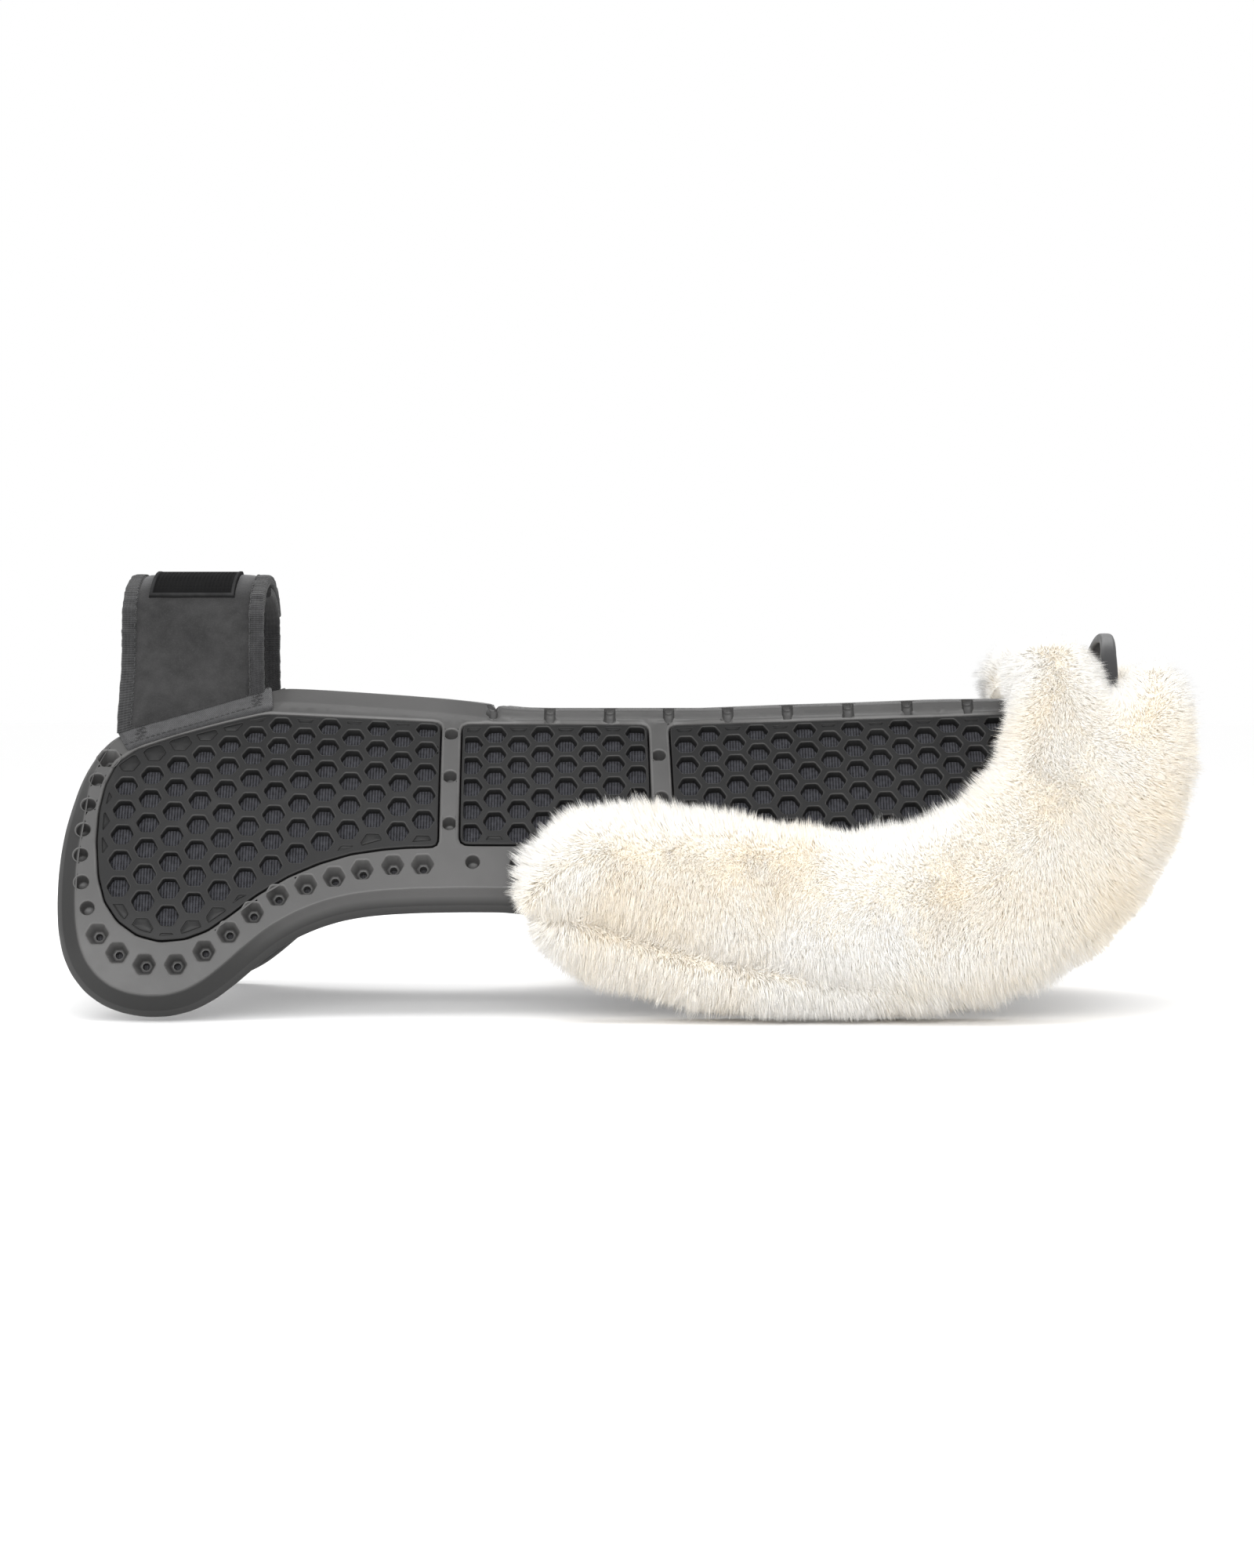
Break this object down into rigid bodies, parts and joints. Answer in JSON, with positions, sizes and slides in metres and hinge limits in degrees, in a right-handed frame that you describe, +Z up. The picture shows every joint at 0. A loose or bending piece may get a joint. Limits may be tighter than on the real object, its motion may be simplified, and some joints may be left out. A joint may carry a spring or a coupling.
{
  "type": "saddle half pad",
  "caption": "Half pad that lies between saddle and horse: two perforated cushioned panels joined by a withers strap and a rear bridge, with a fleece roll round the cantle end.",
  "frame": {"origin": "centre of the footprint, on the surface the wing tips and fleece rolls stand on", "axes": "+X from the withers strap to the cantle end, +Z up, the horse's left panel at -Y"},
  "size_m": [0.5842, 0.3054, 0.2298],
  "materials": {
    "moulded_frame": "satin",
    "perforated_insert": "satin",
    "knit_foam": "matte",
    "lining_fabric": "matte",
    "fleece": "matte",
    "core_foam": "matte",
    "twill_tape": "matte",
    "strap_suede": "matte",
    "binding": "matte",
    "hook_loop": "matte",
    "bridge_rubber": "satin"
  },
  "bodies": {
    "spine_strap": {"strap_leg": "strap_suede", "strap_leg_binding_front": "binding", "strap_leg_binding_rear": "binding", "short_flap": "strap_suede", "flap_binding_front": "binding", "flap_binding_rear": "binding", "loop_patch": "hook_loop", "rear_bridge": "bridge_rubber"},
    "strap_closure": {"strap_crown": "strap_suede", "crown_binding_front": "binding", "crown_binding_rear": "binding", "hook_patch": "hook_loop", "rubber_badge": "bridge_rubber"},
    "left_panel": {"left_frame": "moulded_frame", "left_front_insert": "perforated_insert", "left_middle_insert": "perforated_insert", "left_rear_insert": "perforated_insert", "left_front_foam_pad": "knit_foam", "left_middle_foam_pad": "knit_foam", "left_rear_foam_pad": "knit_foam", "left_lining": "lining_fabric", "left_fleece_roll": "fleece", "left_roll_core": "core_foam", "left_fleece_underside": "fleece", "left_strap_base": "twill_tape", "left_bridge_tab": "moulded_frame"},
    "right_panel": {"right_frame": "moulded_frame", "right_front_insert": "perforated_insert", "right_middle_insert": "perforated_insert", "right_rear_insert": "perforated_insert", "right_front_foam_pad": "knit_foam", "right_middle_foam_pad": "knit_foam", "right_rear_foam_pad": "knit_foam", "right_lining": "lining_fabric", "right_fleece_roll": "fleece", "right_roll_core": "core_foam", "right_fleece_underside": "fleece", "right_strap_base": "twill_tape", "right_bridge_tab": "moulded_frame"}
  },
  "joints": [
    {"name": "left_panel_flex", "type": "hinge", "parent": "spine_strap", "child": "left_panel", "pos_m": [0, -0.045, 0.1585], "axis": [-1, 0, 0], "range_deg": [-15, 30], "stiffness_Nm_per_rad": 7},
    {"name": "right_panel_flex", "type": "hinge", "parent": "spine_strap", "child": "right_panel", "pos_m": [0, 0.045, 0.1585], "axis": [1, 0, 0], "range_deg": [-15, 30], "stiffness_Nm_per_rad": 7},
    {"name": "strap_peel", "type": "hinge", "parent": "spine_strap", "child": "strap_closure", "pos_m": [-0.2304, -0.0465, 0.1955], "axis": [1, 0, 0], "range_deg": [0, 150]}
  ]
}
